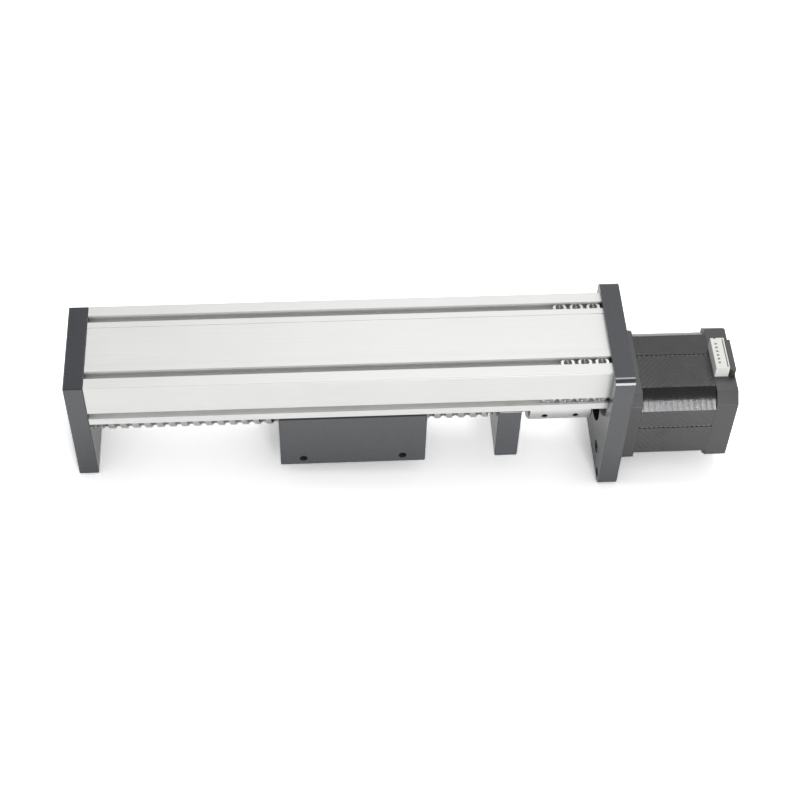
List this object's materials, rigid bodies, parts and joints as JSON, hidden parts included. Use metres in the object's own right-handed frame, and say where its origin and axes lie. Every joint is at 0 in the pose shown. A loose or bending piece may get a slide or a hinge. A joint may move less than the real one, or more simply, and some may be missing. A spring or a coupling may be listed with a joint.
{
  "type": "ball_screw_linear_axis",
  "caption": "Compact linear axis: T-slotted aluminium channel with rail-guided carriage underneath, ball screw, shaft coupling and in-line square stepper motor",
  "frame": {"origin": "on the screw axis, at the outer face of the idler plate", "axes": "+X along the screw from the idler plate to the motor, +Z from the screw towards the channel, +Y completes the right-handed frame"},
  "size_m": [0.2703, 0.0543, 0.0685],
  "materials": {
    "clear_anodised_aluminium": "extruded, clear anodised, fine lengthwise die lines",
    "dark_anodised_aluminium": "dark grey anodised, smooth with a soft gloss",
    "turned_aluminium": "turned and clear anodised",
    "ground_steel": "hardened and ground",
    "black_steel": "black oxide",
    "zinc_steel": "zinc plated",
    "motor_black": "black painted die casting, satin",
    "lamination_steel": "stacked laminations, black varnish",
    "copper": "enamelled copper wire",
    "brass": "plated contact brass",
    "white_plastic": "moulded, warm white",
    "green_plastic": "moulded, dark green"
  },
  "bodies": {
    "frame": {"profile": "clear_anodised_aluminium", "idler_plate": "dark_anodised_aluminium", "motor_plate": "dark_anodised_aluminium", "bearing_block": "dark_anodised_aluminium", "idler_plate_screws": "black_steel", "motor_plate_screws": "black_steel", "block_screws": "black_steel", "guide_rail": "ground_steel", "rail_screws": "black_steel", "idler_bearing_outer": "ground_steel", "idler_bearing_balls": "ground_steel", "fixed_bearing_outer": "ground_steel", "fixed_bearing_balls": "ground_steel", "bearing_cover": "dark_anodised_aluminium", "cover_screws": "black_steel", "motor_flange": "motor_black", "motor_stator": "lamination_steel", "motor_windings": "copper", "motor_rear_cap": "motor_black", "motor_bearings": "ground_steel", "motor_long_screws": "black_steel", "motor_mount_screws": "black_steel", "connector_housing": "white_plastic", "connector_contacts": "brass"},
    "screw": {"ball_screw": "ground_steel", "idler_bearing_inner": "ground_steel", "fixed_bearing_inner": "ground_steel", "spacer_ring": "ground_steel", "lock_nut": "black_steel", "coupling": "turned_aluminium", "coupling_screws": "black_steel", "motor_shaft": "ground_steel", "motor_rotor": "lamination_steel"},
    "carriage": {"carriage": "dark_anodised_aluminium", "guide_block": "ground_steel", "guide_end_caps": "green_plastic", "guide_balls": "ground_steel", "guide_block_screws": "black_steel", "ball_nut": "ground_steel", "nut_balls": "ground_steel", "ball_deflectors": "black_steel", "nut_wipers": "white_plastic", "nut_ring": "black_steel", "nut_lock_screw": "black_steel"},
    "nuts_web_front": {"web_nuts_front": "zinc_steel"},
    "nuts_web_rear": {"web_nuts_rear": "zinc_steel"},
    "nuts_side_front": {"side_nuts_front": "zinc_steel"},
    "nuts_side_rear": {"side_nuts_rear": "zinc_steel"}
  },
  "joints": [
    {"name": "carriage_slide", "type": "slide", "parent": "frame", "child": "carriage", "axis": [1, 0, 0], "range_m": [-0.074, 0.028]},
    {"name": "screw_spin", "type": "hinge", "parent": "frame", "child": "screw", "pos_m": [0, 0, 0], "axis": [1, 0, 0], "range_deg": [-2020, 5335]},
    {"name": "web_front_nut_slide", "type": "slide", "parent": "frame", "child": "nuts_web_front", "axis": [1, 0, 0], "range_m": [-0.187, 0]},
    {"name": "web_rear_nut_slide", "type": "slide", "parent": "frame", "child": "nuts_web_rear", "axis": [1, 0, 0], "range_m": [-0.187, 0]},
    {"name": "side_front_nut_slide", "type": "slide", "parent": "frame", "child": "nuts_side_front", "axis": [1, 0, 0], "range_m": [-0.18, 0]},
    {"name": "side_rear_nut_slide", "type": "slide", "parent": "frame", "child": "nuts_side_rear", "axis": [1, 0, 0], "range_m": [-0.18, 0]}
  ],
  "couplings": [
    {"joint": "screw_spin", "follows": "carriage_slide", "rad_per_m": -1256.6}
  ]
}
